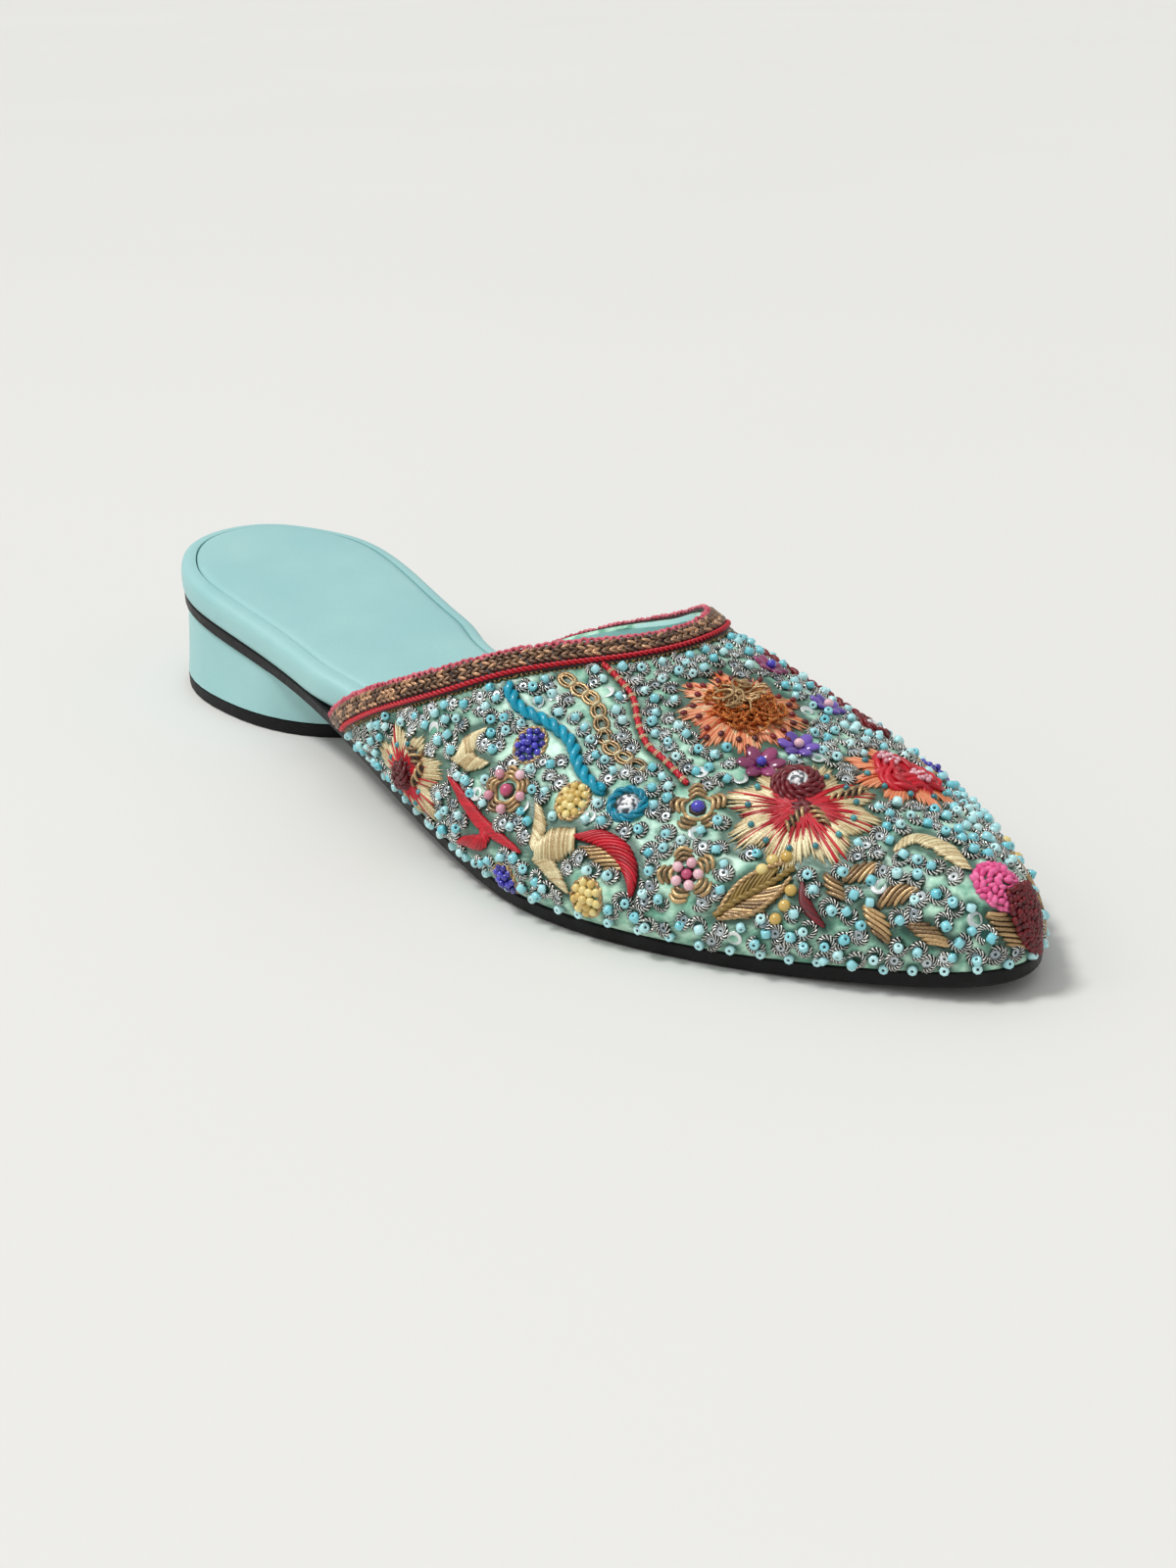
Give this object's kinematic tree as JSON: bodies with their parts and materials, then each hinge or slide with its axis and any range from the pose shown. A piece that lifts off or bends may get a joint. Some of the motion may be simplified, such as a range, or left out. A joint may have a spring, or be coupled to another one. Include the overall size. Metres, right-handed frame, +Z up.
{
  "type": "beaded mule shoe",
  "caption": "Backless low-heeled mule with an almond toe, satin upper for beadwork, braid topline trim, wrapped footbed and oval block heel",
  "frame": {"origin": "middle of the floor face of the heel's lift", "axes": "+X towards the toe, +Y towards the inner side of the foot, +Z up"},
  "size_m": [0.2484, 0.0817, 0.042],
  "materials": {
    "outsole": "black edge paint, smooth",
    "top_lift": "matt black",
    "heel_wrap": "smooth aqua",
    "footbed_leather": "smooth aqua",
    "sock_leather": "smooth aqua, soft sheen",
    "satin": "aqua satin, beaded and embroidered",
    "trim_braid": "metallic braid"
  },
  "bodies": {
    "root": {"outsole": "outsole", "top_lift": "top_lift", "heel_block": "heel_wrap", "footbed": "footbed_leather", "sock": "sock_leather", "upper": "satin", "topline_trim": "trim_braid"}
  },
  "joints": []
}
